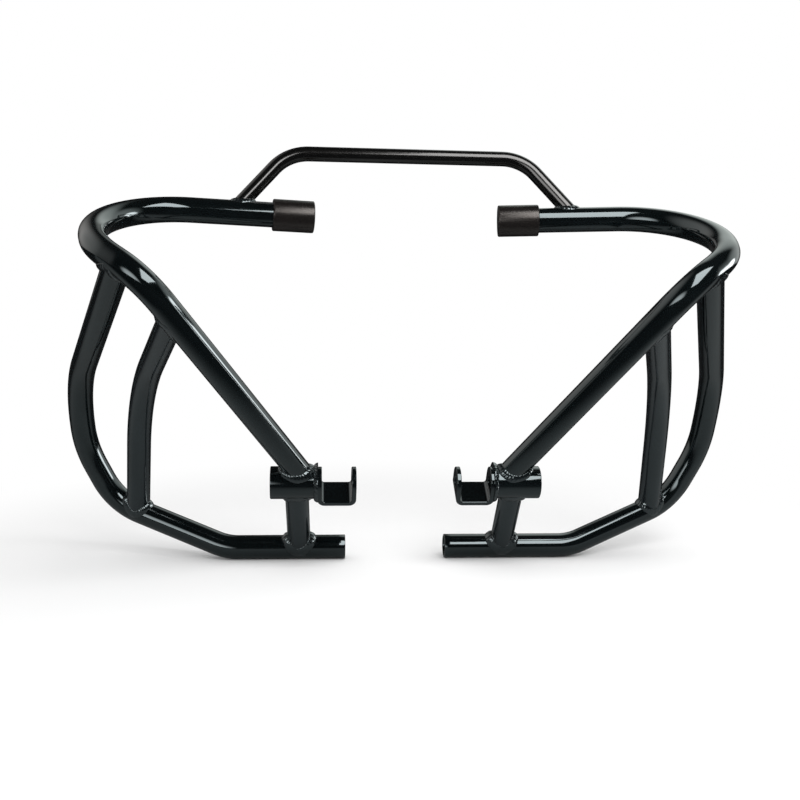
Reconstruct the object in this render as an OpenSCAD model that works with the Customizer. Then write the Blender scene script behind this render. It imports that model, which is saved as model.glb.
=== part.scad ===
// Crash bars for a motorcycle: a mirrored pair of welded tube guards joined by a thin crossbar.
// Origin: middle of the lower bolt axis. +X to the right, -Y to the front, +Z up.

/* [Tube stock] */
// Outside diameter of the main tube and of the lower hoop
tube_d = 25; // [20:0.5:32]
// Wall of the main tube and of the lower hoop
tube_wall = 2; // [1.2:0.1:3.5]
// Outside diameter of the struts
strut_d = 24; // [16:0.5:25]
// Wall of the struts
strut_wall = 2; // [1.2:0.1:3.5]
// Outside diameter of the crossbar
crossbar_d = 15; // [10:0.5:20]
// Wall of the crossbar
crossbar_wall = 1.5; // [1:0.1:3]
// Leg of every weld bead
weld_leg = 3; // [1.5:0.5:4]

/* [Main tube] */
// Height of the upper run over the lower bolt axis
run_height = 266; // [220:1:320]
// Distance of the upper run behind the lower bolt axis
run_back = 40; // [0:1:70]
// Half width to the corner between the upper run and the front bend
run_half_width = 316; // [280:1:340]
// How far the upper run sweeps forward over its length
run_sweep = 23; // [0:1:40]
// Rise of the upper run over its length
run_rise = 6.5; // [0:0.5:20]
// Half width at the front corner of the wing
wing_half_width = 283; // [260:1:310]
// Distance of the front corner of the wing ahead of the bolt axis
wing_front = 98; // [80:1:130]
// Height of the front corner of the wing
wing_height = 229; // [200:1:250]
// Half width at the knee above the long diagonal
knee_half_width = 238; // [220:1:250]
// Distance of the knee ahead of the bolt axis
knee_front = 130; // [110:1:160]
// Height of the knee
knee_height = 202; // [180:1:215]
// Half width at the diagonal's foot, level with the bolt axis
diagonal_foot_x = 99.5; // [95:0.5:110]
// Distance of the diagonal's foot behind the bolt axis
diagonal_foot_back = 4.5; // [0:0.5:4.5]
// Bend radius between the upper run and the wing
run_bend_r = 86; // [50:1:95]
// Bend radius at the front corner of the wing
wing_bend_r = 60; // [40:1:80]
// Bend radius of the knee
knee_bend_r = 45; // [30:1:60]

/* [Lower hoop] */
// Height of the lower run under the bolt axis
lower_drop = 79.5; // [65:0.5:100]
// Distance of the lower run behind the bolt axis
lower_back = 49; // [30:1:70]
// Half width at the open inner end of the left lower run
left_stub_x = 59.5; // [40:0.5:80]
// Half width at the open inner end of the right lower run
right_stub_x = 46.5; // [40:0.5:80]
// Half width at the first lower corner
sill_half_width = 184; // [165:1:210]
// Half width at the low outer corner
heel_half_width = 304; // [280:1:325]
// Distance of the low outer corner behind the bolt axis
heel_back = 83; // [60:1:100]
// Height of the low outer corner under the bolt axis
heel_drop = 38; // [20:1:50]
// Half width at the widest lower corner
flank_half_width = 333; // [315:1:350]
// Distance of the widest lower corner behind the bolt axis
flank_back = 73; // [50:1:90]
// Height of the widest lower corner over the bolt axis
flank_height = 24; // [15:1:40]
// Half width at the widest upper corner
shoulder_half_width = 335; // [315:1:350]
// Distance of the widest upper corner behind the bolt axis
shoulder_back = 50; // [30:1:65]
// Height of the widest upper corner
shoulder_height = 92; // [80:1:110]
// Share of the way from the front corner to the knee at which the hoop lands
hoop_landing = 0.50; // [0.3:0.05:0.6]
// Bend radius of the first lower corner
sill_bend_r = 60; // [40:1:90]
// Bend radius of the low outer corner
heel_bend_r = 60; // [40:1:80]
// Bend radius of the widest lower corner
flank_bend_r = 104; // [60:1:120]
// Bend radius of the widest upper corner
shoulder_bend_r = 126; // [80:1:140]

/* [Middle strut] */
// Share of the way down the diagonal at which the strut starts
strut_top_share = 0.16; // [0.12:0.01:0.3]
// Share of the way along the sloped lower run at which the strut lands
strut_foot_share = 0.80; // [0.6:0.01:0.85]
// Half width at the bend of the strut
strut_bend_x = 267; // [255:1:280]
// Distance of the strut's bend behind the bolt axis
strut_bend_back = 18; // [0:1:35]
// Height of the strut's bend
strut_bend_height = 88; // [70:1:105]
// Bend radius of the strut
strut_bend_r = 200; // [100:1:220]

/* [Crossbar] */
// Half width at which the crossbar lands on the upper runs
crossbar_foot_x = 176; // [150:1:185]
// Half width at the crossbar's corner
crossbar_corner_x = 121; // [90:1:135]
// Height of the crossbar's corner over the upper run
crossbar_rise = 64; // [45:1:90]
// Distance of the crossbar's corner behind the upper run
crossbar_back = 17; // [0:1:50]
// Bend radius of the crossbar
crossbar_bend_r = 45; // [30:1:60]

/* [Bosses and bolts] */
// Outside diameter of the lower boss
boss_d = 33; // [30:0.5:38]
// Half width at the outer end of the lower boss
boss_outer_x = 136.5; // [130:0.5:150]
// Length of the lower boss
boss_len = 47; // [40:1:55]
// Bore of the lower boss and of its bracket
lower_bolt_d = 12.5; // [8:0.5:14]
// Half width at which the short strut meets the boss
short_strut_top_x = 110.5; // [106:0.5:118]
// Half width at which the short strut meets the lower run
short_strut_foot_x = 108; // [95:0.5:118]

/* [Bracket] */
// Thickness of the folded strip
bracket_t = 4.5; // [3:0.5:6]
// Width of the folded strip
bracket_w = 32; // [28:0.5:36]
// Clear gap between the legs
bracket_gap = 30; // [20:0.5:34]
// Distance of the inner floor from the bolt axis
bracket_floor = 13; // [11:0.5:20]
// Inner radius of the two folds
bracket_fold_r = 3; // [1:0.5:6]
// Lean of the legs towards the front
bracket_lean = 30; // [0:1:45]

/* [Upper sleeves] */
// Outside diameter of the upper sleeve
sleeve_d = 32; // [29:0.5:38]
// Half width at the inner face of the upper sleeve
sleeve_inner_x = 94.5; // [80:0.5:110]
// Length of the upper sleeve
sleeve_len = 41.5; // [35:0.5:55]
// Depth to which the main tube goes into the sleeve
sleeve_socket = 22; // [15:0.5:28]
// Clearance round the tube in the sleeve
sleeve_clearance = 0.1; // [0.05:0.05:0.3]
// Bore for the upper bolt
upper_bolt_d = 10.5; // [6:0.5:12]
// Rounding of the sleeve's edges
sleeve_edge_r = 1.5; // [0.5:0.5:3]

/* [Hidden] */
$fn = 64;

paint = "#15191b";
strut_paint = "#1b2123";
bar_paint = "#202020";
sleeve_grey = "#3a3635";

// A bend's wall is drawn this much thinner on each face, and each straight stretch laps this far over it
bend_thinning = 0.05;
seam_lap = 0.8;
// Reach of a bead's solid along the tube that it goes round
bead_reach = 40;

boss_inner_x = boss_outer_x - boss_len;
run_end_x = sleeve_inner_x + sleeve_len - sleeve_socket;

// Corner points of the right main tube, from the sleeve to the boss
run_end = [run_end_x, run_back, run_height];
run_corner = [run_half_width, run_back - run_sweep, run_height + run_rise];
wing_corner = [wing_half_width, -wing_front, wing_height];
knee_corner = [knee_half_width, -knee_front, knee_height];
diagonal_foot = [diagonal_foot_x, diagonal_foot_back, 0];
main_path = [run_end, run_corner, wing_corner, knee_corner, diagonal_foot];
main_bends = [run_bend_r, wing_bend_r, knee_bend_r];

// Corner points of the right lower hoop, from its inner end to the wing
sill_corner = [sill_half_width, lower_back, -lower_drop];
heel_corner = [heel_half_width, heel_back, -heel_drop];
flank_corner = [flank_half_width, flank_back, flank_height];
shoulder_corner = [shoulder_half_width, shoulder_back, shoulder_height];
hoop_top = between(wing_corner, knee_corner, hoop_landing);
hoop_bends = [sill_bend_r, heel_bend_r, flank_bend_r, shoulder_bend_r];
function hoop_path(stub_x) =
    [[stub_x, lower_back, -lower_drop], sill_corner, heel_corner, flank_corner, shoulder_corner, hoop_top];

// Corner points of the right struts
strut_top = between(knee_corner, diagonal_foot, strut_top_share);
strut_foot = between(sill_corner, heel_corner, strut_foot_share);
strut_path = [strut_top, [strut_bend_x, strut_bend_back, strut_bend_height], strut_foot];
short_strut_path = [[short_strut_top_x, 0, 0], [short_strut_foot_x, lower_back, -lower_drop]];

// Corner points of the crossbar, from left to right
crossbar_foot = between(run_end, run_corner, (crossbar_foot_x - run_end_x) / (run_half_width - run_end_x));
crossbar_corner = [crossbar_corner_x, run_back + crossbar_back, run_height + crossbar_rise];
crossbar_path = [flip(crossbar_foot), flip(crossbar_corner), crossbar_corner, crossbar_foot];

function between(a, b, share) = a + (b - a) * share;
function flip(p) = [-p[0], p[1], p[2]];
function unit(v) = v / norm(v);
function square_to(v) = unit(cross(abs(v[0]) < 0.9 ? [1, 0, 0] : [0, 1, 0], v));
function turn(p, i) = acos(unit(p[i] - p[i - 1]) * unit(p[i + 1] - p[i]));
function setback(p, r, i) =
    i == 0 || i == len(p) - 1 ? 0 : r[i - 1] * tan(turn(p, i) / 2);

// Puts its children in the frame that starts at point o with axes x, y and z
module placed(o, x, y, z)
    multmatrix([[x[0], y[0], z[0], o[0]], [x[1], y[1], z[1], o[1]], [x[2], y[2], z[2], o[2]], [0, 0, 0, 1]])
        children();

// Round or ring section of a tube; no wall gives a solid round
module section(d, wall)
    difference() {
        circle(d = d);
        if (wall > 0) circle(d = d - 2 * wall);
    }

// Straight stretch from a to b
module stretch(a, b, d, wall) {
    z = unit(b - a);
    x = square_to(z);
    placed(a, x, cross(z, x), z) linear_extrude(height = norm(b - a)) section(d, wall);
}

// Bend of radius r at corner i of the path p
module bend(p, i, r, d, wall) {
    u = unit(p[i] - p[i - 1]);
    v = unit(p[i + 1] - p[i]);
    inward = unit(v - u * (u * v));
    start = p[i] - u * r * tan(turn(p, i) / 2);
    placed(start + inward * r, -inward, u, cross(-inward, u))
        rotate_extrude(angle = turn(p, i), $fn = 96) translate([r, 0]) section(d, wall);
}

// Tube bent along the path p with the bend radii r; no wall gives the solid outer form
module bent_tube(p, r, d, wall = 0) {
    last = len(p) - 1;
    for (i = [1 : last]) {
        u = unit(p[i] - p[i - 1]);
        a = p[i - 1] + u * (i == 1 ? 0 : setback(p, r, i - 1) - seam_lap);
        b = p[i] - u * (i == last ? 0 : setback(p, r, i) - seam_lap);
        stretch(a, b, d, wall);
    }
    if (last > 1)
        for (i = [1 : last - 1])
            bend(p, i, r[i - 1], d - 2 * bend_thinning, wall > 0 ? wall - 2 * bend_thinning : 0);
}

// Solid outer forms that the ends of other tubes are notched to
module main_body(grow = 0) bent_tube(main_path, main_bends, tube_d + 2 * grow);
module diagonal_body(grow = 0) stretch(knee_corner, diagonal_foot, tube_d + 2 * grow, 0);
module run_body(grow = 0) stretch(run_end, run_corner, tube_d + 2 * grow, 0);
module sill_body(grow = 0)
    stretch([short_strut_foot_x - 2 * tube_d, lower_back, -lower_drop], sill_corner, tube_d + 2 * grow, 0);
module heel_body(grow = 0)
    bent_tube([sill_corner, heel_corner, flank_corner], [heel_bend_r], tube_d + 2 * grow);
module boss_body(grow = 0, extra = 0)
    translate([boss_inner_x - extra, 0, 0]) rotate([0, 90, 0])
        cylinder(d = boss_d + 2 * grow, h = boss_len + 2 * extra);

module main_tube()
    color(paint) difference() {
        bent_tube(main_path, main_bends, tube_d, tube_wall);
        boss_body(extra = tube_d);
    }

module lower_hoop(stub_x)
    color(paint) difference() {
        bent_tube(hoop_path(stub_x), hoop_bends, tube_d, tube_wall);
        main_body();
    }

module middle_strut()
    color(strut_paint) difference() {
        bent_tube(strut_path, [strut_bend_r], strut_d, strut_wall);
        main_body();
        heel_body();
    }

module short_strut()
    color(strut_paint) difference() {
        bent_tube(short_strut_path, [], strut_d, strut_wall);
        boss_body();
        sill_body();
    }

module boss()
    color(paint) translate([boss_inner_x, 0, 0]) rotate([0, 90, 0])
        linear_extrude(height = boss_len) difference() {
            circle(d = boss_d);
            circle(d = lower_bolt_d);
        }

// Outline of the folded strip across its width: floor below, legs up, round folds
module fold_outline(half, floor_y, r)
    union() {
        translate([-half, floor_y + r]) square([2 * half, bracket_w]);
        translate([-half + r, floor_y]) square([2 * half - 2 * r, 2 * r]);
        for (s = [-1, 1]) translate([s * (half - r), floor_y + r]) circle(r = r);
    }

module bracket() {
    half_gap = bracket_gap / 2;
    half_out = half_gap + bracket_t;
    middle_x = boss_inner_x - half_out;
    tip_r = bracket_w / 2;
    color(paint) translate([middle_x, 0, 0]) rotate([bracket_lean, 0, 0]) difference() {
        intersection() {
            rotate([90, 0, 0]) linear_extrude(height = bracket_w, center = true) difference() {
                fold_outline(half_out, -bracket_floor - bracket_t, bracket_fold_r + bracket_t);
                fold_outline(half_gap, -bracket_floor, bracket_fold_r);
            }
            rotate([90, 0, 90]) linear_extrude(height = 2 * half_out + 2, center = true) union() {
                circle(r = tip_r);
                translate([-tip_r, -bracket_floor - bracket_t - 1])
                    square([bracket_w, bracket_floor + bracket_t + 1]);
            }
        }
        rotate([0, 90, 0]) cylinder(d = lower_bolt_d, h = 2 * half_out + 2, center = true);
    }
}

module sleeve() {
    run_dir = unit(run_corner - run_end);
    side = square_to(run_dir);
    start = run_end - run_dir * (sleeve_len - sleeve_socket);
    outer_r = sleeve_d / 2;
    socket_r = tube_d / 2 + sleeve_clearance;
    floor_z = sleeve_len - sleeve_socket;
    e = sleeve_edge_r;
    color(sleeve_grey) placed(start, side, cross(run_dir, side), run_dir) rotate_extrude() difference() {
        union() {
            square([outer_r - e, sleeve_len]);
            translate([0, e]) square([outer_r, sleeve_len - 2 * e]);
            for (z = [e, sleeve_len - e]) translate([outer_r - e, z]) circle(r = e);
        }
        translate([-1, -1]) square([1 + upper_bolt_d / 2, sleeve_len + 2]);
        translate([-1, floor_z]) square([1 + socket_r, sleeve_len]);
    }
}

module crossbar()
    color(bar_paint) difference() {
        bent_tube(crossbar_path, [crossbar_bend_r, crossbar_bend_r], crossbar_d, crossbar_wall);
        run_body();
        mirror([1, 0, 0]) run_body();
    }

// Bead where a tube of diameter d that runs from a towards b lands on the body that comes first
module bead(a, b, d, $fn = 180) {
    away = a + unit(b - a) * min(norm(b - a), bead_reach);
    difference() {
        intersection() {
            stretch(a, away, d + 2 * weld_leg, 0);
            children(0);
        }
        children(1);
        stretch(a, away, d, 0);
    }
}

module hoop_weld()
    color(paint) bead(hoop_top, shoulder_corner, tube_d, $fn = 48) { main_body(weld_leg); main_body(); }

module strut_welds()
    color(paint) {
        bead(strut_top, strut_path[1], strut_d) { diagonal_body(weld_leg); main_body(); }
        bead(strut_foot, strut_path[1], strut_d) { heel_body(weld_leg); heel_body(); }
    }

// Bead round the boss's inner end, where the bracket's leg meets it
module end_bead()
    translate([boss_inner_x, 0, 0]) rotate([0, 90, 0]) difference() {
        cylinder(r1 = boss_d / 2 + weld_leg, r2 = boss_d / 2, h = weld_leg);
        translate([0, 0, -1]) cylinder(d = boss_d, h = weld_leg + 2);
    }

module boss_welds()
    color(paint) {
        end_bead();
        bead(diagonal_foot, knee_corner, tube_d) { boss_body(weld_leg); boss_body(); }
        bead(short_strut_path[0], short_strut_path[1], strut_d) { boss_body(weld_leg); boss_body(); }
        bead(short_strut_path[1], short_strut_path[0], strut_d) { sill_body(weld_leg); sill_body(); }
    }

module crossbar_weld()
    color(paint) bead(crossbar_foot, crossbar_corner, crossbar_d, $fn = 48) { run_body(weld_leg); run_body(); }

mirror([1, 0, 0]) main_tube();  // left_main_tube
main_tube();  // right_main_tube
mirror([1, 0, 0]) lower_hoop(left_stub_x);  // left_lower_hoop
lower_hoop(right_stub_x);  // right_lower_hoop
mirror([1, 0, 0]) middle_strut();  // left_middle_strut
middle_strut();  // right_middle_strut
mirror([1, 0, 0]) short_strut();  // left_short_strut
short_strut();  // right_short_strut
mirror([1, 0, 0]) boss();  // left_boss
boss();  // right_boss
mirror([1, 0, 0]) bracket();  // left_bracket
bracket();  // right_bracket
mirror([1, 0, 0]) sleeve();  // left_sleeve
sleeve();  // right_sleeve
crossbar();
mirror([1, 0, 0]) hoop_weld();  // left_hoop_weld
hoop_weld();  // right_hoop_weld
mirror([1, 0, 0]) strut_welds();  // left_strut_welds
strut_welds();  // right_strut_welds
mirror([1, 0, 0]) boss_welds();  // left_boss_welds
boss_welds();  // right_boss_welds
union() { crossbar_weld(); mirror([1, 0, 0]) crossbar_weld(); }  // crossbar_welds
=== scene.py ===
"""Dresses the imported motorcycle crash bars: painted tubes, beads, sleeves, floor, lights and camera."""

import itertools
import logging
import math
from dataclasses import dataclass, field
from enum import Enum
from typing import Any, Optional, Sequence, Union

import bmesh
import bpy
import numpy as np
from mathutils import Matrix

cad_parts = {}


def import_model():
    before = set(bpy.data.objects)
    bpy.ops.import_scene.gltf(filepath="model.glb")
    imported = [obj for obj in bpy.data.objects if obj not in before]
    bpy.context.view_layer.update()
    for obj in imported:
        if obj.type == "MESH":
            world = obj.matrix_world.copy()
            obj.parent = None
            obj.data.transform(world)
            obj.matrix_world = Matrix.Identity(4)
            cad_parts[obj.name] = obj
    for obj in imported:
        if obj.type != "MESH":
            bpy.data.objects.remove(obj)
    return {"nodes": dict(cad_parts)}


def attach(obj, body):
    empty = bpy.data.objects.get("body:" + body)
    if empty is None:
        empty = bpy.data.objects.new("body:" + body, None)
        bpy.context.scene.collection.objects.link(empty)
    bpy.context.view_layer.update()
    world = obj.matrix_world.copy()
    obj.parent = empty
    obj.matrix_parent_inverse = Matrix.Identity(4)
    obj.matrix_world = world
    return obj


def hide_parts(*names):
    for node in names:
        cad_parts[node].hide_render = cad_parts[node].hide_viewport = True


logging.basicConfig(level=logging.INFO, format="%(levelname)s %(message)s")
LOG = logging.getLogger("crash_bars")

MM = 0.001
TINY = 1e-9
SPIRAL_POINTS = 200
SEARCH_FROM, SEARCH_TO, SEARCH_SAMPLES = 70.0, -6.0, 191
PHASE_SPAN = 6.28
BEAD_SHARP = 80.0
NEARLY_UPRIGHT = 0.9
FEWEST_STRAIGHT, FEWEST_BEND, FEWEST_LAST = 2, 6, 3
WHITE = (1.0, 1.0, 1.0)
Number = Union[int, float]
Value = Union["Wire", int, float]
Colour = tuple[float, float, float]
Corner = tuple[float, float, float]
Section = tuple[tuple[float, float], ...]


def unit(v: np.ndarray) -> np.ndarray:
    """Scales each vector to length one.

    Args:
        v: Vectors along the last axis.

    Returns:
        The vectors divided by their own lengths.
    """
    return v / np.maximum(np.linalg.norm(v, axis=-1, keepdims=True), 1e-12)


def between(a: Corner, b: Corner, share: float) -> Corner:
    """Finds a point on the line from a to b.

    Args:
        a: The first point.
        b: The second point.
        share: How far along the line the point lies, 0 at a and 1 at b.

    Returns:
        The point a + (b - a) * share.
    """
    return tuple(p + (q - p) * share for p, q in zip(a, b))


def put(name: str, data: bpy.types.ID) -> bpy.types.Object:
    """Makes an object of the data and links it into the scene.

    Args:
        name: The object's name.
        data: Its mesh, light or camera.

    Returns:
        The new object.
    """
    made = bpy.data.objects.new(name, data)
    bpy.context.scene.collection.objects.link(made)
    return made


class Side(Enum):
    """The half of the bars that a piece belongs to; the value is the sign of its x."""

    LEFT = -1
    RIGHT = 1

    @property
    def prefix(self) -> str:
        """The start of the names of this half's nodes."""
        return self.name.lower() + "_"

    def place(self, corners: Sequence[Corner]) -> list[Corner]:
        """Puts the right half's corners on this half, each as (x * sign, y, z)."""
        return [(x * self.value, y, z) for x, y, z in corners]


class MeshMaker:
    """Turns grids of points into Blender pieces."""

    @staticmethod
    def grid_faces(rows: int, cols: int) -> np.ndarray:
        """Lists the quads of a grid that closes on itself both ways.

        Quad (i, j) joins the corners (i, j), (i, j+1), (i+1, j+1) and (i+1, j), and
        the last row and column join the first.

        Args:
            rows: Number of rows.
            cols: Number of columns.

        Returns:
            An array of four vertex numbers per quad.
        """
        i, j = np.arange(rows)[:, None], np.arange(cols)[None, :]
        i2, j2 = (i + 1) % rows, (j + 1) % cols
        quads = [i * cols + j, i * cols + j2, i2 * cols + j2, i2 * cols + j]
        return np.stack(np.broadcast_arrays(*quads), axis=-1).reshape(-1, 4)

    @classmethod
    def closed(cls, name: str, grid: np.ndarray, sharp: float) -> bpy.types.Object:
        """Makes one piece from a grid that closes on itself both ways.

        The signed volume, the sum of a . (b x c) / 6 over the triangles, says
        whether the faces point inwards, and then they are turned.

        Args:
            name: The piece's name.
            grid: Points in millimetres, rows by columns by 3.
            sharp: Angle in degrees above which an edge is drawn sharp.

        Returns:
            The new object, at the origin and in metres.
        """
        rows, cols = grid.shape[:2]
        points = grid.reshape(-1, 3) * MM
        quads = cls.grid_faces(rows, cols)
        a, b, c, d = (points[quads[:, k]] for k in range(4))
        volume = np.einsum("ij,ij->", a, np.cross(b, c)) + np.einsum("ij,ij->", a, np.cross(c, d))
        if volume < 0:
            quads = quads[:, ::-1]
        mesh = bpy.data.meshes.new(name)
        mesh.vertices.add(len(points))
        mesh.vertices.foreach_set("co", points.astype(np.float32).ravel())
        mesh.loops.add(quads.size)
        mesh.loops.foreach_set("vertex_index", quads.astype(np.int32).ravel())
        mesh.polygons.add(len(quads))
        mesh.polygons.foreach_set("loop_start", np.arange(0, quads.size, 4, dtype=np.int32))
        mesh.polygons.foreach_set("use_smooth", np.ones(len(quads), dtype=bool))
        mesh.update(calc_edges=True)
        mesh.validate()
        mesh.set_sharp_from_angle(angle=math.radians(sharp))
        return put(name, mesh)


@dataclass(frozen=True)
class Line:
    """A centre line as stations: points, unit tangents and the length run so far, in millimetres."""

    points: np.ndarray
    tangents: np.ndarray
    run: np.ndarray
    first_straight: float
    last_straight: float

    def frames(self) -> tuple[np.ndarray, np.ndarray]:
        """Finds two vectors square to the tangent at each station.

        The reference is the direction, out of a spiral over the sphere, whose
        largest dot product with any tangent is the smallest, so the ring never flips.

        Returns:
            The two unit vectors at each station.
        """
        k = np.arange(SPIRAL_POINTS)
        z = 1 - (2 * k + 1) / SPIRAL_POINTS
        angle = k * math.pi * (3 - math.sqrt(5))
        flat = np.sqrt(1 - z * z)
        candidates = np.stack([flat * np.cos(angle), flat * np.sin(angle), z], axis=1)
        reference = candidates[np.abs(candidates @ self.tangents.T).max(axis=1).argmin()]
        along = (self.tangents @ reference)[:, None] * self.tangents
        side = unit(reference - along)
        return side, np.cross(self.tangents, side)


@dataclass(frozen=True)
class Route:
    """Corner points of a bent tube with one bend radius for each inner corner."""

    corners: tuple[Corner, ...]
    radii: tuple[float, ...] = ()

    def line(self, straight_step: float = 7.0, bend_step: float = 2.2) -> Line:
        """Works out the centre line: straights joined by arcs tangent to both.

        An arc of radius r that turns by t starts r * tan(t / 2) before its corner and
        runs centre + r * (sin(a) * u - cos(a) * inward) for a from 0 to t.

        Args:
            straight_step: Distance between stations on a straight.
            bend_step: Distance between stations on an arc.

        Returns:
            The centre line.
        """
        corners = [np.array(c, dtype=float) for c in self.corners]
        chunks, tangents = [], []
        here = corners[0]
        lengths = []
        for before, corner, after, r in zip(corners, corners[1:], corners[2:], self.radii):
            u, v = unit(corner - before), unit(after - corner)
            turn = math.acos(float(np.clip(u @ v, -1, 1)))
            start = corner - u * r * math.tan(turn / 2)
            lengths.append(float(np.linalg.norm(start - here)))
            count = max(FEWEST_STRAIGHT, int(lengths[-1] / straight_step))
            t = np.linspace(0, 1, count, endpoint=False)[:, None]
            chunks.append(here + (start - here) * t)
            tangents.append(np.repeat(u[None], len(t), axis=0))
            inward = unit(v - u * (u @ v))
            count = max(FEWEST_BEND, int(turn * r / bend_step))
            a = np.linspace(0, turn, count, endpoint=False)[:, None]
            chunks.append(start + inward * r + r * (np.sin(a) * u - np.cos(a) * inward))
            tangents.append(np.cos(a) * u + np.sin(a) * inward)
            here = corner + v * r * math.tan(turn / 2)
        lengths.append(float(np.linalg.norm(corners[-1] - here)))
        t = np.linspace(0, 1, max(FEWEST_LAST, int(lengths[-1] / straight_step)))[:, None]
        chunks.append(here + (corners[-1] - here) * t)
        tangents.append(np.repeat(unit(corners[-1] - here)[None], len(t), axis=0))
        points, along = np.concatenate(chunks), np.concatenate(tangents)
        run = np.concatenate([[0.0], np.cumsum(np.linalg.norm(np.diff(points, axis=0), axis=1))])
        return Line(points, along, run, lengths[0], lengths[-1])


@dataclass(frozen=True)
class Solid:
    """The outer form of a round piece: all points nearer to its centre line than its radius."""

    line: Line
    radius: float

    def nearest(self, p: np.ndarray) -> np.ndarray:
        """Finds the nearest point of the centre line.

        Each point is dropped on every segment, and the closest foot is kept.

        Args:
            p: Points, N by 3.

        Returns:
            The nearest points of the line, N by 3.
        """
        a = self.line.points[:-1]
        step = np.diff(self.line.points, axis=0)
        share = np.einsum("nsk,sk->ns", p[:, None] - a[None], step) / np.einsum("sk,sk->s", step, step)
        feet = a[None] + np.clip(share, 0, 1)[..., None] * step[None]
        best = np.linalg.norm(p[:, None] - feet, axis=-1).argmin(axis=1)
        return feet[np.arange(len(p)), best]

    def depth(self, p: np.ndarray) -> np.ndarray:
        """Gives each point's distance outside the surface, negative inside it."""
        return np.linalg.norm(p - self.nearest(p), axis=-1) - self.radius

    def normal(self, p: np.ndarray) -> np.ndarray:
        """Gives the outward direction at each point."""
        return unit(p - self.nearest(p))


@dataclass(frozen=True)
class Plate:
    """A flat face that a bead lands on: all points behind it are inside."""

    point: np.ndarray
    facing: np.ndarray

    def depth(self, p: np.ndarray) -> np.ndarray:
        """Gives each point's distance in front of the face."""
        return (p - self.point) @ self.facing

    def normal(self, p: np.ndarray) -> np.ndarray:
        """Gives the face's own direction at each point."""
        return np.broadcast_to(self.facing, p.shape)


@dataclass(frozen=True)
class Saddle:
    """The curve where a round tube's straight end meets another piece's outer form."""

    origin: np.ndarray
    away: np.ndarray
    side: np.ndarray
    up: np.ndarray
    mate: Union[Solid, Plate]

    def reach(self, radius: float, angles: np.ndarray, sunk: float = 0.0) -> np.ndarray:
        """Finds how far from the origin each line along the tube meets the mate.

        Every line origin + radius * ring(angle) + s * away is sampled from far to near,
        and the first sample at or under the wanted depth is refined between its neighbours.
        A line that only grazes the mate takes its deepest sample.

        Args:
            radius: Distance of the lines from the tube's axis.
            angles: Angle of each line round the axis.
            sunk: How far under the mate's surface the meeting point lies.

        Returns:
            The length s for each angle.
        """
        s = np.linspace(SEARCH_FROM, SEARCH_TO, SEARCH_SAMPLES)
        ring = self.ring(angles)
        start = self.origin + radius * ring
        grid = start[:, None] + s[None, :, None] * self.away
        depth = self.mate.depth(grid.reshape(-1, 3)).reshape(len(angles), -1) + sunk
        under = depth <= 0
        hit = under.any(axis=1)
        first = np.where(hit, under.argmax(axis=1), depth.argmin(axis=1))
        first = np.maximum(first, 1)
        rows = np.arange(len(angles))
        near, far = depth[rows, first], depth[rows, first - 1]
        share = np.clip(far / np.where(np.abs(far - near) < TINY, 1.0, far - near), 0, 1)
        exact = s[first - 1] + (s[first] - s[first - 1]) * share
        return np.where(hit, exact, s[first])

    def ring(self, angles: np.ndarray) -> np.ndarray:
        """Gives the directions round the tube: cos(angle) * side + sin(angle) * up."""
        return np.cos(angles)[:, None] * self.side + np.sin(angles)[:, None] * self.up


@dataclass(frozen=True)
class Collar(Saddle):
    """The plain circle where a flat plate meets the end of a round piece."""

    def reach(self, radius: float, angles: np.ndarray, sunk: float = 0.0) -> np.ndarray:
        """Gives the plate's distance, which is nothing at every angle."""
        return np.zeros(len(angles))


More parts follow.
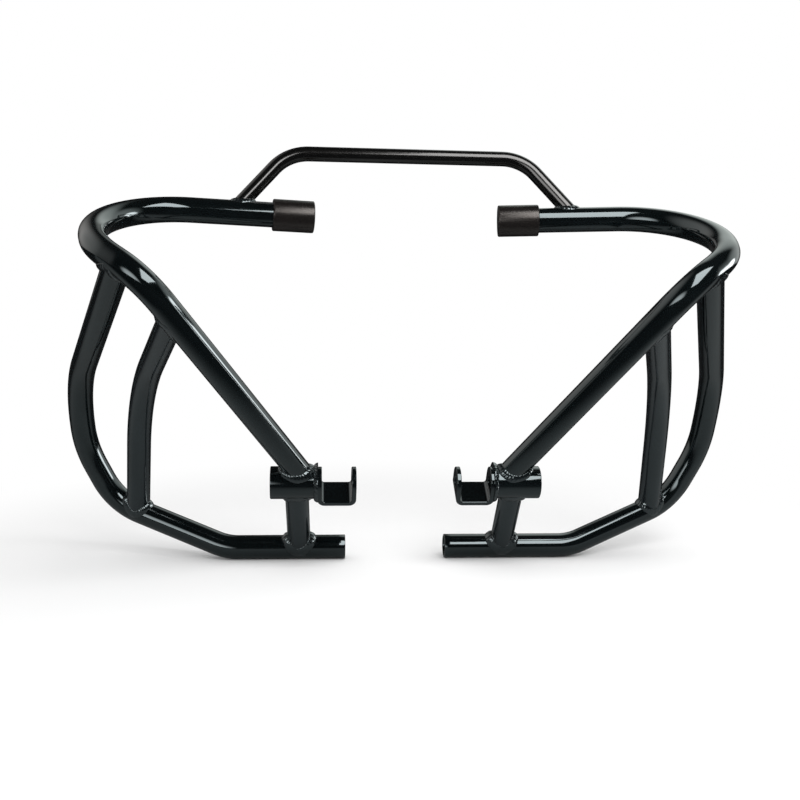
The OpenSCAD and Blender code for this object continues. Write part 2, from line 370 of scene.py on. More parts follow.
@dataclass(frozen=True)
class Tube:
    """A hollow round tube along a route, cut plainly or notched to a mate at each end.

    Lip is the softening of a plain end, and sunk is how far a notched end goes under
    its mate's surface, both in millimetres.
    """

    route: Route
    diameter: float
    wall: float
    start_mate: Optional[Solid] = None
    end_mate: Optional[Solid] = None
    sides: int = 72
    lip: float = 0.35
    lip_slope: float = 0.3
    sunk: float = 0.4

    def saddle(self, at_start: bool) -> Saddle:
        """Sets out the saddle at one end.

        Args:
            at_start: Whether it is the route's first end.

        Returns:
            The saddle, with its origin on the end of the route.
        """
        line = self.route.line()
        side, up = line.frames()
        k = 0 if at_start else -1
        mate = self.start_mate if at_start else self.end_mate
        away = line.tangents[k] * (1 if at_start else -1)
        return Saddle(line.points[k], away, side[k], up[k], mate)

    def wall_grid(self, radius: float, sunk: float) -> np.ndarray:
        """Sweeps a ring of the given radius along the route.

        Point (i, j) is station i moved along its tangent, plus radius times the ring
        direction j. On the first and last straight the stations are stretched so that
        they end where the ring's lines meet the mates.

        Args:
            radius: Radius of the ring.
            sunk: How far the ends go under the mates' surfaces.

        Returns:
            Points, stations by sides by 3.
        """
        line = self.route.line()
        side, up = line.frames()
        angles = np.arange(self.sides) * 2 * math.pi / self.sides
        run = line.run
        total = run[-1]
        low = np.zeros(self.sides)
        high = np.full(self.sides, total)
        if self.start_mate is not None:
            low = self.saddle(True).reach(radius, angles, sunk)
        if self.end_mate is not None:
            high = total - self.saddle(False).reach(radius, angles, sunk)
        single = len(self.route.corners) == 2
        first = total if single else line.first_straight
        last = total if single else line.last_straight
        if single:
            moved = low[None] + run[:, None] / total * (high - low)[None]
        else:
            head = low[None] + run[:, None] / first * (first - low)[None]
            back = (total - run)[:, None]
            tail = high[None] - back / last * (high - (total - last))[None]
            moved = np.where(run[:, None] < first, head, run[:, None])
            moved = np.where(back < last, tail, moved)
        turn = angles[None, :, None]
        ring = np.cos(turn) * side[:, None] + np.sin(turn) * up[:, None]
        along = (moved - run[:, None])[..., None] * line.tangents[:, None]
        return line.points[:, None] + along + radius * ring

    def grid(self) -> np.ndarray:
        """Gives the closed skin: the outer wall out, a softened lip, and the inner wall back.

        Returns:
            Points, rows by sides by 3, that close on themselves both ways.
        """
        r = self.diameter / 2
        outer = self.wall_grid(r, self.sunk)
        inner = self.wall_grid(r - self.wall, self.sunk)
        lip, slope = self.lip, self.lip_slope
        rows = []
        for grid, mate, k, step in ((outer, self.end_mate, -1, -2), (outer, self.start_mate, 0, 1)):
            if mate is None:
                out_ring, in_ring = grid[k], inner[k]
                towards = unit(grid[step] - grid[k])
                inward = unit(in_ring - out_ring)
                outer_rim = (towards * lip, (towards + inward) * lip * slope, inward * lip)
                inner_rim = (-inward * lip, (towards - inward) * lip * slope, towards * lip)
                rows.append([out_ring + d for d in outer_rim] + [in_ring + d for d in inner_rim])
            else:
                rows.append([grid[k], inner[k]])
        end, start = rows
        return np.concatenate([outer[1:-1], np.stack(end), inner[1:-1][::-1], np.stack(start[::-1])])


@dataclass(frozen=True)
class Bead:
    """A weld bead laid round a saddle, with the ripples that each pool of metal leaves.

    Leg, pitch, ripple, sunk and heart are in millimetres. Crown is a share of the leg,
    sway and swell are shares of the leg that it varies by, wander and lag are shares of
    a pitch, and lean is how far the crown points away from the mate.
    """

    saddle: Saddle
    tube_radius: float
    leg: float = 4.2
    pitch: float = 3.0
    ripple: float = 0.30
    seed: int = 1
    around: int = 420
    across: int = 13
    fewest_waves: int = 8
    crown: float = 0.16
    sway: float = 0.055
    sways: tuple[int, ...] = (2, 3, 7)
    wander: float = 0.16
    wanders: int = 5
    lag: float = 0.30
    swell: float = 0.05
    usual_beat: float = 0.35
    lean: float = 0.35
    sunk: float = 0.7
    heart: float = 0.5

    def grid(self) -> np.ndarray:
        """Works out the bead's closed surface.

        At each angle the bead's section runs from a toe on the tube, over a round
        crown, to a toe on the mate, and back under both surfaces. Leg and crown swell
        with |sin| of the length run divided by the pitch, which lags behind towards the
        toes and so draws crescents, and with three slow sines that vary the whole bead.

        Returns:
            Points, angles by section by 3.
        """
        dice = np.random.default_rng(self.seed)
        angles = np.arange(self.around) * 2 * math.pi / self.around
        ring = self.saddle.ring(angles)
        base = self.saddle.origin + self.tube_radius * ring
        foot = base + self.saddle.reach(self.tube_radius, angles)[:, None] * self.saddle.away
        steps = np.linalg.norm(np.roll(foot, -1, axis=0) - foot, axis=1)
        run = np.concatenate([[0.0], np.cumsum(steps)[:-1]])
        total = float(steps.sum())
        waves = max(self.fewest_waves, round(total / self.pitch))
        out = self.saddle.mate.normal(foot)
        along_mate = unit(ring - (ring * out).sum(axis=1, keepdims=True) * out)
        along_tube = np.broadcast_to(self.saddle.away, ring.shape)
        phases = dice.uniform(0, PHASE_SPAN, len(self.sways))
        slow = sum(self.sway * np.sin(angles * n + phase) for n, phase in zip(self.sways, phases))
        uneven = 1 + slow[:, None]
        q = np.linspace(0, 1, self.across)[None, :]
        lag = self.lag * (2 * q - 1) ** 2
        wander = self.wander * np.sin(angles * self.wanders + dice.uniform(0, PHASE_SPAN))[:, None]
        beat = np.abs(np.sin(math.pi * (run[:, None] / total * waves + wander - lag)))
        crown = np.sin(math.pi * q)
        leg = self.leg * uneven * (1 + self.swell * beat)
        bisector = unit(along_mate + along_tube + self.lean * out)
        toe_tube = foot[:, None] + leg[:, :1, None] * along_tube[:, None]
        toe_mate = foot[:, None] + leg[:, -1:, None] * along_mate[:, None]
        flat = toe_mate.reshape(-1, 3)
        lift = self.saddle.mate.depth(flat)[:, None] * self.saddle.mate.normal(flat)
        toe_mate = (flat - lift).reshape(toe_mate.shape)
        height = crown * (self.crown * self.leg * uneven + self.ripple * (beat - self.usual_beat))
        share = q[..., None]
        top = toe_tube * (1 - share) + toe_mate * share + height[..., None] * bisector[:, None]
        under_mate = toe_mate - self.sunk * out[:, None]
        heart = (foot - self.heart * ring - self.heart * out)[:, None]
        under_tube = toe_tube - self.sunk * ring[:, None]
        return np.concatenate([top, under_mate, heart, under_tube], axis=1)


@dataclass(frozen=True)
class Lathe:
    """A closed section of axial and radial lengths turned round an axis."""

    origin: np.ndarray
    axis: np.ndarray
    section: Section
    sides: int = 120

    def grid(self) -> np.ndarray:
        """Turns the section: origin + axial * axis + radial * (cos(a) * side + sin(a) * up).

        Returns:
            Points, section by sides by 3.
        """
        axis = unit(self.axis)
        reference = [0.0, 0.0, 1.0] if abs(axis[2]) < NEARLY_UPRIGHT else [1.0, 0.0, 0.0]
        side = unit(np.cross(axis, reference))
        up = np.cross(axis, side)
        a = np.arange(self.sides) * 2 * math.pi / self.sides
        ring = np.cos(a)[:, None] * side + np.sin(a)[:, None] * up
        section = np.array(self.section)
        return self.origin + section[:, :1, None] * axis + section[:, 1:, None] * ring[None]

    @staticmethod
    def rounded(corners: Sequence[Corner], steps: int = 5) -> Section:
        """Rounds the corners of a closed section.

        Each corner of radius r gives way to the curve (1-t)^2 p + 2t(1-t) c + t^2 q
        between the points p and q at the distance r along its two sides.

        Args:
            corners: Axial length, radial length and rounding of each corner.
            steps: Number of points on each rounded corner.

        Returns:
            The section's points.
        """
        places = np.array(corners)[:, :2]
        radii = np.array(corners)[:, 2]
        before = unit(np.roll(places, 1, axis=0) - places) * radii[:, None] + places
        after = unit(np.roll(places, -1, axis=0) - places) * radii[:, None] + places
        t = np.linspace(0, 1, steps)[None, :, None]
        p, c, q = before[:, None], places[:, None], after[:, None]
        curve = (1 - t) ** 2 * p + 2 * t * (1 - t) * c + t**2 * q
        return tuple(map(tuple, curve.reshape(-1, 2)))


@dataclass(frozen=True)
class Wire:
    """A shader node's output that can be written into an expression."""

    graph: "Graph"
    source: bpy.types.NodeSocket

    def _math(self, operation: str, *values: Value) -> "Wire":
        """Adds one Math node for the operation, fed with the values in order."""
        return self.graph.node("ShaderNodeMath", {"operation": operation}, dict(enumerate(values)))

    def __add__(self, other: Value) -> "Wire":
        """Adds."""
        return self._math("ADD", self, other)

    def __radd__(self, other: Number) -> "Wire":
        """Adds, with the number first."""
        return self._math("ADD", other, self)

    def __sub__(self, other: Value) -> "Wire":
        """Subtracts."""
        return self._math("SUBTRACT", self, other)

    def __rsub__(self, other: Number) -> "Wire":
        """Subtracts from a number."""
        return self._math("SUBTRACT", other, self)

    def __mul__(self, other: Value) -> "Wire":
        """Multiplies."""
        return self._math("MULTIPLY", self, other)

    def __rmul__(self, other: Number) -> "Wire":
        """Multiplies, with the number first."""
        return self._math("MULTIPLY", other, self)

    def __gt__(self, other: Value) -> "Wire":
        """Gives 1 where this is the larger and 0 elsewhere."""
        return self._math("GREATER_THAN", self, other)

    def step(self, low: float, high: float) -> "Wire":
        """Rises smoothly from 0 at low to 1 at high."""
        sockets = {"Value": self, "From Min": low, "From Max": high}
        return self.graph.node("ShaderNodeMapRange", {"interpolation_type": "SMOOTHSTEP"}, sockets)


@dataclass(frozen=True)
class Grain:
    """A noise: cells to the metre, number of finer layers and the strength of each."""

    scale: float
    detail: float
    roughness: float = 0.5


class Graph:
    """The node tree of a material or of the world, built from expressions."""

    def __init__(self, tree: bpy.types.NodeTree) -> None:
        """Empties the tree and keeps it."""
        self.tree = tree
        tree.nodes.clear()

    @classmethod
    def of_material(cls, name: str) -> tuple[bpy.types.Material, "Graph"]:
        """Makes a material.

        Args:
            name: The material's name.

        Returns:
            The material and its empty tree.
        """
        material = bpy.data.materials.new(name)
        material.use_nodes = True
        return material, cls(material.node_tree)

    def node(
        self, kind: str, settings: dict[str, Any], sockets: dict[Any, Any], out: Union[int, str] = 0
    ) -> Wire:
        """Adds a node.

        Args:
            kind: The node's type.
            settings: Properties that are set first, such as an operation or a ramp's stops.
            sockets: A value or a wire for each input, by name or number.
            out: The output that is handed on, by name or number.

        Returns:
            A wire from that output.
        """
        made = self.tree.nodes.new(kind)
        for key, value in settings.items():
            if key == "stops":
                while len(made.color_ramp.elements) < len(value):
                    made.color_ramp.elements.new(0.5)
                for element, (place, colour) in zip(made.color_ramp.elements, value):
                    element.position = place
                    element.color = (*colour, 1.0)
            else:
                setattr(made, key, value)
        for key, value in sockets.items():
            self.feed(made.inputs[key], value)
        return Wire(self, made.outputs[out])

    def feed(self, socket: bpy.types.NodeSocket, value: Any) -> None:
        """Links a wire to a socket, or sets the socket's own value.

        Args:
            socket: The input.
            value: A wire, a number, a vector or a colour.
        """
        if isinstance(value, Wire):
            self.tree.links.new(value.source, socket)
        elif socket.type == "RGBA":
            socket.default_value = (*value, 1.0)
        else:
            socket.default_value = value

    def place(self) -> Wire:
        """Gives the point in the object's own coordinates."""
        return self.node("ShaderNodeTexCoord", {}, {}, "Object")

    def noise(self, grain: Grain) -> Wire:
        """Gives cloudy noise.

        Args:
            grain: Its sizes.

        Returns:
            A wire from 0 to 1.
        """
        sockets = {
            "Vector": self.place(),
            "Scale": grain.scale,
            "Detail": grain.detail,
            "Roughness": grain.roughness,
        }
        return self.node("ShaderNodeTexNoise", {}, sockets, "Fac")

    def axis(self, vector: Wire, number: int) -> Wire:
        """Picks one component of a vector: 0 for X, 1 for Y and 2 for Z."""
        return self.node("ShaderNodeSeparateXYZ", {}, {0: vector}, number)

    def ray(self, kind: str) -> Wire:
        """Gives 1 where the ray is of the named kind."""
        return self.node("ShaderNodeLightPath", {}, {}, kind)

    def mix(self, factor: Value, a: Any, b: Any) -> Wire:
        """Mixes two colours by a factor."""
        return self.node("ShaderNodeMix", {"data_type": "RGBA"}, {0: factor, 6: a, 7: b}, 2)

    def bump(self, height: Wire, distance: float) -> Wire:
        """Turns a height into a normal; the distance is in metres."""
        sockets = {"Height": height, "Distance": distance, "Strength": 1.0}
        return self.node("ShaderNodeBump", {}, sockets, "Normal")

    def surface(self, shader: Wire, kind: str = "ShaderNodeOutputMaterial") -> None:
        """Ends the tree with the shader, in an output node of the kind."""
        made = self.tree.nodes.new(kind)
        self.tree.links.new(shader.source, made.inputs["Surface"])


@dataclass(frozen=True)
class Lacquer:
    """Baked-on gloss paint: a dark coat with faint orange peel, dust nibs and a clear top.

    Peel is the height of the orange peel in metres, and rub is what smudges add to the
    roughness. A nib shows where both the speck and the patch noise pass their limits.
    """

    name: str
    colour: Colour
    roughness: float = 0.09
    coat: float = 0.8
    tint: Colour = (0.78, 0.96, 1.0)
    specular: float = 0.75
    peel: float = 0.00003
    rub: float = 0.03
    ior: float = 1.55
    coat_roughness: float = 0.03
    coat_ior: float = 1.5
    cloud: Grain = Grain(14.0, 4.0, 0.6)
    cloud_span: tuple[float, float] = (0.35, 0.7)
    cloud_gain: float = 1.5
    cloud_lift: float = 0.0002
    smudge: Grain = Grain(60.0, 5.0, 0.65)
    smudge_span: tuple[float, float] = (0.45, 0.75)
    speck: Grain = Grain(900.0, 1.0)
    speck_limit: float = 0.76
    patch: Grain = Grain(130.0, 2.0)
    patch_limit: float = 0.55
    nib_height: float = 0.04
    nib_roughness: float = 0.15
    dimple: Grain = Grain(150.0, 1.0, 0.4)

    def build(self) -> bpy.types.Material:
        """Builds the material.

        Returns:
            The new material.
        """
        material, g = Graph.of_material(self.name)
        cloud = g.noise(self.cloud).step(*self.cloud_span)
        smudge = g.noise(self.smudge).step(*self.smudge_span)
        nibs = (g.noise(self.speck) > self.speck_limit) * (g.noise(self.patch) > self.patch_limit)
        lighter = tuple(c * self.cloud_gain + self.cloud_lift for c in self.colour)
        height = g.noise(self.dimple) + self.nib_height * nibs
        sockets = {
            "Base Color": g.mix(cloud, self.colour, lighter),
            "Roughness": self.roughness + self.rub * smudge + self.nib_roughness * nibs,
            "Specular IOR Level": self.specular,
            "Specular Tint": self.tint,
            "IOR": self.ior,
            "Coat Weight": self.coat,
            "Coat Roughness": self.coat_roughness,
            "Coat IOR": self.coat_ior,
            "Normal": g.bump(height, self.peel),
        }
        g.surface(g.node("ShaderNodeBsdfPrincipled", {}, sockets))
        return material


@dataclass(frozen=True)
class SatinCoat:
    """Fine textured satin paint of the end sleeves.

    Texture is the height of the grain in metres, and rough and smooth are what grain
    adds to the roughness and clouds take from it.
    """

    name: str
    colour: Colour
    roughness: float = 0.24
    tint: Colour = (1.0, 0.93, 0.88)
    specular: float = 0.85
    ior: float = 1.5
    grain: Grain = Grain(2600.0, 2.0, 0.6)
    texture: float = 0.00006
    rough: float = 0.10
    cloud: Grain = Grain(35.0, 4.0, 0.6)
    cloud_span: tuple[float, float] = (0.3, 0.75)
    cloud_gain: float = 1.35
    smooth: float = 0.06

    def build(self) -> bpy.types.Material:
        """Builds the material.

        Returns:
            The new material.
        """
        material, g = Graph.of_material(self.name)
        grain = g.noise(self.grain)
        cloud = g.noise(self.cloud)
        lighter = tuple(c * self.cloud_gain for c in self.colour)
        sockets = {
            "Base Color": g.mix(cloud.step(*self.cloud_span), self.colour, lighter),
            "Roughness": self.roughness + self.rough * grain - self.smooth * cloud,
            "Specular IOR Level": self.specular,
            "Specular Tint": self.tint,
            "IOR": self.ior,
            "Normal": g.bump(grain, self.texture),
        }
        g.surface(g.node("ShaderNodeBsdfPrincipled", {}, sockets))
        return material


class Finish(Enum):
    """The paint slots of the record, each with its look."""

    FRAME = ("gloss_black_frame", Lacquer("frame_lacquer", (0.0010, 0.0019, 0.0022)))
    STRUTS = (
        "gloss_black_struts",
        Lacquer("strut_lacquer", (0.0038, 0.0052, 0.0062), roughness=0.14),
    )
    BAR = (
        "semi_gloss_black_bar",
        Lacquer(
            "bar_paint",
            (0.0016, 0.0016, 0.0016),
            roughness=0.18,
            coat=0.4,
            tint=(1.0, 0.98, 0.96),
            rub=0.05,
        ),
    )
    SLEEVES = ("satin_grey_sleeves", SatinCoat("sleeve_satin", (0.0070, 0.0058, 0.0055)))
    WELDS = (
        "painted_weld_bead",
        Lacquer(
            "weld_lacquer",
            (0.0028, 0.0040, 0.0046),
            roughness=0.13,
            coat=1.0,
            specular=0.9,
            peel=0.00008,
        ),
    )

    @property
    def slot(self) -> str:
        """The record's slot."""
        return self.value[0]


class Paintshop:
    """Builds each finish once and dresses pieces with it."""

    def __init__(self) -> None:
        """Starts with no finish built."""
        self.made: dict[Finish, bpy.types.Material] = {}

    def dress(self, piece: bpy.types.Object, finish: Finish, *nodes: str) -> None:
        """Gives a piece its finish and its body, and hides the nodes that it stands for.

        Args:
            piece: The piece.
            finish: Its finish.
            nodes: The CAD nodes that it replaces.
        """
        if finish not in self.made:
            self.made[finish] = finish.value[1].build()
        piece.data.materials.clear()
        piece.data.materials.append(self.made[finish])
        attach(piece, "root")
        if nodes:
            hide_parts(*nodes)
        LOG.info("%s: %d faces, %s", piece.name, len(piece.data.polygons), finish.slot)

    def skin(self, name: str, grid: np.ndarray, finish: Finish, node: str, sharp: float = 50.0) -> None:
        """Makes a piece from a grid that closes on itself and dresses it for one node."""
        self.dress(MeshMaker.closed(name, grid, sharp), finish, node)


@dataclass(frozen=True)
class HalfFrame:
    """One half of the bars.

    Lengths are in millimetres and corners are those of the right half. Shares place a
    foot along the line between two corners. The bracket's flat, sharp and rim_angle
    are in degrees.
    """

    side: Side
    tube_d: float = 25.0
    tube_wall: float = 2.0
    strut_d: float = 24.0
    boss_d: float = 33.0
    boss_x: tuple[float, float] = (89.5, 136.5)
    lower_bore_r: float = 6.25
    sleeve_d: float = 32.0
    sleeve_len: float = 41.5
    sleeve_socket: float = 22.0
    socket_clearance: float = 0.1
    upper_bore_r: float = 5.25
    run_end: Corner = (114.0, 40.0, 266.0)
    run_corner: Corner = (316.0, 17.0, 272.5)
    wing: Corner = (283.0, -98.0, 229.0)
    knee: Corner = (238.0, -130.0, 202.0)
    diagonal_foot: Corner = (99.5, 4.5, 0.0)
    main_bends: tuple[float, ...] = (86.0, 60.0, 45.0)
    sill: Corner = (184.0, 49.0, -79.5)
    heel: Corner = (304.0, 83.0, -38.0)
    flank: Corner = (333.0, 73.0, 24.0)
    shoulder: Corner = (335.0, 50.0, 92.0)
    hoop_bends: tuple[float, ...] = (60.0, 60.0, 104.0, 126.0)
    hoop_landing: float = 0.50
    stub_x: dict[Side, float] = field(default_factory=lambda: {Side.LEFT: 59.5, Side.RIGHT: 46.5})
    strut_shares: tuple[float, float] = (0.16, 0.80)
    strut_bend: Corner = (267.0, 18.0, 88.0)
    strut_bend_r: float = 200.0
    short_strut_x: tuple[float, float] = (110.5, 108.0)
    boss_line: tuple[float, float] = (20.0, 220.0)
    boss_mouth: float = 0.5
    boss_rim: float = 1.0
    sleeve_edges: tuple[float, ...] = (0.8, 1.5, 1.5, 0.5, 0.3, 0.3)
    sleeve_steps: int = 7
    first_seed: int = 10
    seed_step: int = 20
    bracket_merge: float = 1e-6
    bracket_flat: float = 1.0
    bracket_sharp: float = 35.0
    bracket_rim: float = 0.7
    bracket_rim_angle: float = 50.0
    bracket_rim_steps: int = 3

    def route(self, corners: Sequence[Corner], radii: Sequence[float] = ()) -> Route:
        """Sets out a route on this half from the right half's corners."""
        return Route(tuple(self.side.place(corners)), tuple(radii))

    def main_route(self) -> Route:
        """Gives the route of the main tube, from the sleeve to the bolt axis."""
        corners = [self.run_end, self.run_corner, self.wing, self.knee, self.diagonal_foot]
        return self.route(corners, self.main_bends)

    def main_solid(self) -> Solid:
        """Gives the outer form of the main tube."""
        return Solid(self.main_route().line(), self.tube_d / 2)

    def hoop_route(self) -> Route:
        """Gives the route of the lower hoop, from its open end to the wing.

        Returns:
            The route, with its four bends.
        """
        start = (self.stub_x[self.side], self.sill[1], self.sill[2])
        top = between(self.wing, self.knee, self.hoop_landing)
        corners = [start, self.sill, self.heel, self.flank, self.shoulder, top]
        return self.route(corners, self.hoop_bends)

    def boss_solid(self) -> Solid:
        """Gives the outer form of the boss, drawn out past its ends."""
        ends = [(x, 0.0, 0.0) for x in self.boss_line]
        return Solid(self.route(ends).line(self.boss_line[0]), self.boss_d / 2)

    def tubes(self) -> dict[str, Tube]:
        """Sets out the bent tubes.

        Returns:
            Each tube by its node's name without the side.
        """
        main = self.main_solid()
        hoop = Tube(self.hoop_route(), self.tube_d, self.tube_wall, end_mate=main)
        hoop_solid = Solid(self.hoop_route().line(), self.tube_d / 2)
        strut_top = between(self.knee, self.diagonal_foot, self.strut_shares[0])
        strut_foot = between(self.sill, self.heel, self.strut_shares[1])
        middle = self.route([strut_top, self.strut_bend, strut_foot], [self.strut_bend_r])
        low = (self.short_strut_x[1], self.sill[1], self.sill[2])
        short = self.route([(self.short_strut_x[0], 0.0, 0.0), low])
        boss = self.boss_solid()
        return {
            "main_tube": Tube(self.main_route(), self.tube_d, self.tube_wall, end_mate=boss),
            "lower_hoop": hoop,
            "middle_strut": Tube(middle, self.strut_d, self.tube_wall, main, hoop_solid),
            "short_strut": Tube(short, self.strut_d, self.tube_wall, boss, hoop_solid),
        }

    def beads(self, tubes: dict[str, Tube]) -> dict[str, list[Bead]]:
        """Sets out the weld beads, grouped as their nodes are.

        Args:
            tubes: The half's tubes.

        Returns:
            The beads by their node's name without the side.
        """
        seeds = itertools.count(self.first_seed + self.side.value, self.seed_step)
        tube_r, strut_r = self.tube_d / 2, self.strut_d / 2
        main, hoop = tubes["main_tube"], tubes["lower_hoop"]
        middle, short = tubes["middle_strut"], tubes["short_strut"]
        return {
            "hoop_weld": [Bead(hoop.saddle(False), tube_r, seed=next(seeds))],
            "strut_welds": [
                Bead(middle.saddle(True), strut_r, seed=next(seeds)),
                Bead(middle.saddle(False), strut_r, seed=next(seeds)),
            ],
            "boss_welds": [
                Bead(main.saddle(False), tube_r, seed=next(seeds)),
                Bead(short.saddle(True), strut_r, seed=next(seeds)),
                Bead(short.saddle(False), strut_r, leg=5.6, ripple=0.45, seed=next(seeds)),
                self.end_bead(next(seeds)),
            ],
        }

    def end_bead(self, seed: int) -> Bead:
        """Sets out the bead round the boss's inner end, where the bracket's leg meets it.

        Args:
            seed: The seed of its unevenness.

        Returns:
            The bead, with coarser ripples than the others.
        """
        out = np.array([float(self.side.value), 0.0, 0.0])
        at = out * self.boss_x[0]
        collar = Collar(at, out, np.array([0.0, 1.0, 0.0]), np.array([0.0, 0.0, 1.0]), Plate(at, out))
        return Bead(collar, self.boss_d / 2, leg=3.6, pitch=4.0, ripple=0.6, seed=seed)

    def boss(self) -> Lathe:
        """Sets out the boss: a thick bush with softened ends and a plain bore.

        Returns:
            The turned form, from its inner end outwards.
        """
        length = self.boss_x[1] - self.boss_x[0]
        mouth, rim = (self.lower_bore_r, self.boss_mouth), (self.boss_d / 2, self.boss_rim)
        corners = [(0, *mouth), (0, *rim), (length, *rim), (length, *mouth)]
        start = np.array([self.side.value * self.boss_x[0], 0.0, 0.0])
        return Lathe(start, np.array([float(self.side.value), 0.0, 0.0]), Lathe.rounded(corners))

    def sleeve(self) -> Lathe:
        """Sets out the sleeve: rounded outside, bored for the bolt, with a socket for the tube.

        Returns:
            The turned form, from its open face towards the tube.
        """
        end, corner = (np.array(c) for c in self.side.place([self.run_end, self.run_corner]))
        along = unit(corner - end)
        r, bore, length = self.sleeve_d / 2, self.upper_bore_r, self.sleeve_len
        socket_r = self.tube_d / 2 + self.socket_clearance
        floor = length - self.sleeve_socket
        places = [(0, bore), (0, r), (length, r), (length, socket_r), (floor, socket_r), (floor, bore)]
        corners = [(*place, edge) for place, edge in zip(places, self.sleeve_edges)]
        return Lathe(end - along * floor, along, Lathe.rounded(corners, self.sleeve_steps))

    def build(self, shop: Paintshop) -> None:
        """Makes and dresses every piece of this half.

        Args:
            shop: The paintshop.
        """
        name = self.side.prefix
        tubes = self.tubes()
        for key, tube in tubes.items():
            finish = Finish.STRUTS if "strut" in key else Finish.FRAME
            shop.skin(name + key + "_painted", tube.grid(), finish, name + key)
        for key, beads in self.beads(tubes).items():
            for number, bead in enumerate(beads, 1):
                piece = f"{name}{key}_bead_{number}"
                shop.skin(piece, bead.grid(), Finish.WELDS, name + key, BEAD_SHARP)
        shop.skin(name + "boss_painted", self.boss().grid(), Finish.FRAME, name + "boss")
        shop.skin(name + "sleeve_satin", self.sleeve().grid(), Finish.SLEEVES, name + "sleeve")
        self.bracket(shop)

    def bracket(self, shop: Paintshop) -> None:
        """Copies the folded bracket's node, merges its triangles and softens its rims.

        Args:
            shop: The paintshop.
        """
        node = self.side.prefix + "bracket"
        source = bpy.data.objects[node]
        mesh = source.data.copy()
        mesh.name = node + "_painted"
        work = bmesh.new()
        work.from_mesh(mesh)
        bmesh.ops.remove_doubles(work, verts=work.verts[:], dist=self.bracket_merge)
        flat = math.radians(self.bracket_flat)
        bmesh.ops.dissolve_limit(work, angle_limit=flat, verts=work.verts[:], edges=work.edges[:])
        bmesh.ops.recalc_face_normals(work, faces=work.faces[:])
        work.to_mesh(mesh)
        work.free()
        mesh.polygons.foreach_set("use_smooth", np.ones(len(mesh.polygons), dtype=bool))
        mesh.set_sharp_from_angle(angle=math.radians(self.bracket_sharp))
        piece = put(node + "_painted", mesh)
        rim = piece.modifiers.new("rim", "BEVEL")
        rim.width = self.bracket_rim * MM
        rim.segments = self.bracket_rim_steps
        rim.limit_method = "ANGLE"
        rim.angle_limit = math.radians(self.bracket_rim_angle)
        rim.harden_normals = False
        shop.dress(piece, Finish.FRAME, node)


@dataclass(frozen=True)
class Crossbar:
    """The thin bar that joins the two upper runs."""

    left: HalfFrame
    right: HalfFrame
    diameter: float = 15.0
    wall: float = 1.5
    foot_x: float = 176.0
    corner: Corner = (121.0, 57.0, 330.0)
    bend_r: float = 45.0
    bead_leg: float = 3.2
    seed: int = 200

    def tube(self) -> Tube:
        """Sets out the bar, notched to both upper runs.

        Returns:
            The bar, from its left foot to its right foot.
        """
        half = self.right
        share = (self.foot_x - half.run_end[0]) / (half.run_corner[0] - half.run_end[0])
        foot = between(half.run_end, half.run_corner, share)
        corners = Side.LEFT.place([foot, self.corner]) + [self.corner, foot]
        route = Route(tuple(corners), (self.bend_r, self.bend_r))
        return Tube(route, self.diameter, self.wall, self.left.main_solid(), half.main_solid())

    def build(self, shop: Paintshop) -> None:
        """Makes and dresses the bar and its two beads.

        Args:
            shop: The paintshop.
        """
        tube = self.tube()
        shop.skin("crossbar_painted", tube.grid(), Finish.BAR, "crossbar")
        for number, at_start in enumerate((True, False), 1):
            saddle, seed = tube.saddle(at_start), self.seed + number
            bead = Bead(saddle, self.diameter / 2, leg=self.bead_leg, seed=seed)
            piece = f"crossbar_weld_bead_{number}"
            shop.skin(piece, bead.grid(), Finish.WELDS, "crossbar_welds", BEAD_SHARP)


@dataclass(frozen=True)
class SoftBox:
    """A round, soft-edged light that only glossy rays see, with all its angles in degrees.

    It is full within the angle inner from its middle and fades out to the angle outer.
    """

    azimuth: float
    elevation: float
    inner: float
    outer: float
    strength: float
    tint: Colour = WHITE

    def direction(self) -> Corner:
        """Gives the unit vector towards it; azimuth 0 is the camera's side and 90 the right."""
        a, e = math.radians(self.azimuth), math.radians(self.elevation)
        return (math.sin(a) * math.cos(e), -math.cos(a) * math.cos(e), math.sin(e))


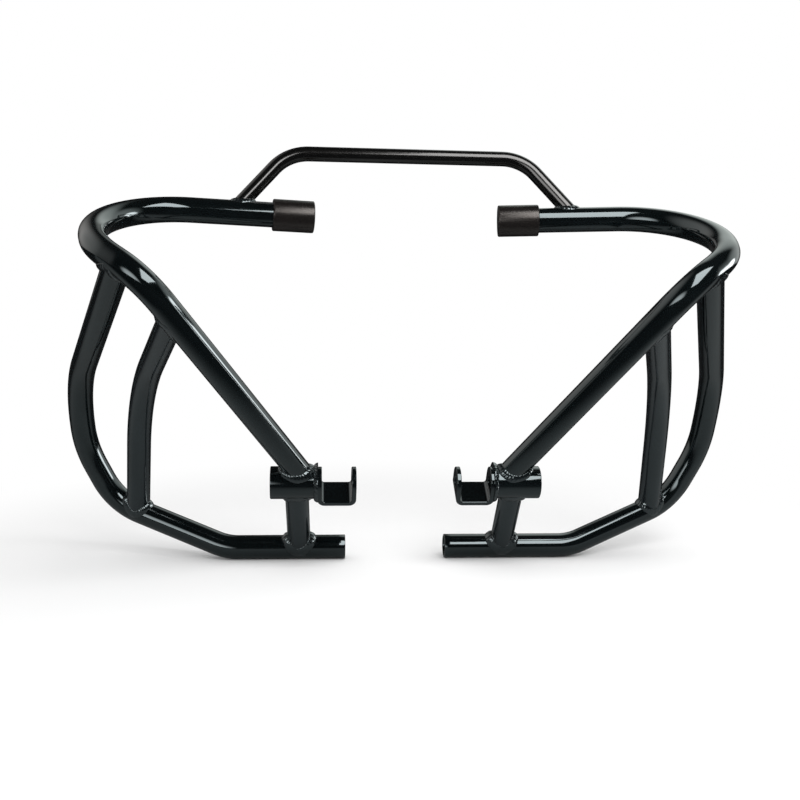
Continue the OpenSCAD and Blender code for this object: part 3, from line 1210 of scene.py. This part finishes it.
@dataclass(frozen=True)
class Studio:
    """Floor, surroundings, lamp and camera, in metres.

    The spans are distances over which one look of the floor gives way to the next:
    fade_span from the floor to white, and mirror_span from the colour that the gloss
    reflects beside the bars to the colour that it reflects in front of and behind them.
    """

    floor_z: float = -0.0921
    floor_half: float = 6.0
    floor_shade: Colour = (0.96, 0.96, 0.96)
    fade_span: tuple[float, float] = (0.34, 0.66)
    mirror_near: Colour = (0.22, 0.23, 0.23)
    mirror_far: Colour = (0.02, 0.021, 0.022)
    mirror_span: tuple[float, float] = (0.04, 0.30)
    camera_at: Corner = (-0.0927, -0.9925, 0.2061)
    forward: Corner = (0.0851, 0.9889, -0.1215)
    roll: float = 0.91
    lens: float = 45.0
    sensor: float = 36.0
    clip: tuple[float, float] = (0.05, 50.0)
    lamp_at: Corner = (0.43, -1.12, 1.0)
    lamp_size: tuple[float, float] = (0.65, 1.64)
    lamp_power: float = 17.0
    dome: Colour = (0.8, 0.8, 0.8)
    room: tuple[tuple[float, float], ...] = ((0.0, 0.05), (0.5, 0.03), (0.62, 0.015), (1.0, 0.02))
    boxes: tuple[SoftBox, ...] = (
        SoftBox(-112.0, 28.0, 10.0, 48.0, 0.6, (1.0, 0.97, 0.94)),
        SoftBox(150.0, 34.0, 8.0, 30.0, 0.9, (0.93, 1.0, 0.96)),
        SoftBox(108.0, 14.0, 10.0, 36.0, 0.8, (0.95, 1.0, 0.98)),
        SoftBox(97.0, 5.0, 8.0, 14.0, 7.0),
        SoftBox(-30.0, 2.0, 2.0, 25.0, 3.0),
    )

    def floor(self) -> None:
        """Lays the floor: pale, white for the camera away from the bars, and dark in the gloss.

        The camera's white comes in with the distance from the middle, and the gloss's
        dark with the distance in front of or behind the bars.
        """
        mesh = bpy.data.meshes.new("floor")
        half = self.floor_half
        corners = [(-half, -half), (half, -half), (half, half), (-half, half)]
        mesh.from_pydata([(x, y, self.floor_z) for x, y in corners], [], [(0, 1, 2, 3)])
        plane = put("floor", mesh)
        material, g = Graph.of_material("pale_floor")
        from_middle = g.node("ShaderNodeVectorMath", {"operation": "LENGTH"}, {0: g.place()}, "Value")
        beside = g.node("ShaderNodeMath", {"operation": "ABSOLUTE"}, {0: g.axis(g.place(), 1)})
        mirrored = g.mix(beside.step(*self.mirror_span), self.mirror_near, self.mirror_far)
        shade = g.mix(g.ray("Is Glossy Ray"), self.floor_shade, mirrored)
        matt = g.node("ShaderNodeBsdfDiffuse", {}, {"Color": shade})
        white = g.node("ShaderNodeEmission", {}, {"Color": WHITE, "Strength": 1.0})
        fade = from_middle.step(*self.fade_span) * g.ray("Is Camera Ray")
        g.surface(g.node("ShaderNodeMixShader", {}, {0: fade, 1: matt, 2: white}))
        mesh.materials.append(material)

    def world(self) -> None:
        """Sets the surroundings, which differ by the kind of ray.

        The camera sees white, glossy rays see a dim room with the soft boxes in it, and
        all others see an even dome. The room's grey goes by height, from 0 at the
        bottom to 1 at the top. Sampling is off, as it would mix the kinds up.
        """
        world = bpy.data.worlds.new("studio")
        world.use_nodes = True
        world.cycles.sampling_method = "NONE"
        bpy.context.scene.world = world
        g = Graph(world.node_tree)
        looking = g.node("ShaderNodeTexCoord", {}, {}, "Generated")
        up = g.axis(looking, 2) * 0.5 + 0.5
        stops = [(place, (grey, grey, grey)) for place, grey in self.room]
        room = g.node("ShaderNodeValToRGB", {"stops": stops}, {0: up})
        for box in self.boxes:
            sockets = {0: looking, 1: box.direction()}
            facing = g.node("ShaderNodeVectorMath", {"operation": "DOT_PRODUCT"}, sockets, "Value")
            share = facing.step(*(math.cos(math.radians(a)) for a in (box.outer, box.inner)))
            room = g.mix(share, room, tuple(c * box.strength for c in box.tint))
        around = g.mix(g.ray("Is Glossy Ray"), self.dome, room)
        colour = g.mix(g.ray("Is Camera Ray"), around, WHITE)
        shader = g.node("ShaderNodeBackground", {}, {"Color": colour, "Strength": 1.0})
        g.surface(shader, "ShaderNodeOutputWorld")

    def lamp(self) -> None:
        """Hangs the one area lamp, which faces straight down."""
        data = bpy.data.lights.new("key_box", "AREA")
        data.shape = "RECTANGLE"
        data.size, data.size_y = self.lamp_size
        data.energy = self.lamp_power
        put("key_box", data).location = self.lamp_at

    def camera(self) -> None:
        """Sets the camera at the photograph's viewing angle, turned by its small roll."""
        data = bpy.data.cameras.new("camera")
        data.lens, data.sensor_width = self.lens, self.sensor
        data.clip_start, data.clip_end = self.clip
        camera = put("camera", data)
        forward = unit(np.array(self.forward))
        right = unit(np.cross(forward, [0.0, 0.0, 1.0]))
        up = np.cross(right, forward)
        c, s = math.cos(math.radians(self.roll)), math.sin(math.radians(self.roll))
        axes = np.stack([c * right + s * up, c * up - s * right, -forward], axis=1)
        camera.matrix_world = Matrix.Translation(self.camera_at) @ Matrix(axes.tolist()).to_4x4()
        bpy.context.scene.camera = camera

    def build(self) -> None:
        """Builds the whole studio."""
        self.camera()
        self.floor()
        self.world()
        self.lamp()
        bpy.context.scene.view_settings.view_transform = "Standard"


def main() -> None:
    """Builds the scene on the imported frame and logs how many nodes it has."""
    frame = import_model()
    LOG.info("nodes: %d", len(frame["nodes"]))
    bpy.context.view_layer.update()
    Studio().build()
    shop = Paintshop()
    left, right = HalfFrame(Side.LEFT), HalfFrame(Side.RIGHT)
    left.build(shop)
    right.build(shop)
    Crossbar(left, right).build(shop)
    bpy.context.view_layer.update()


if __name__ == "__main__":
    main()
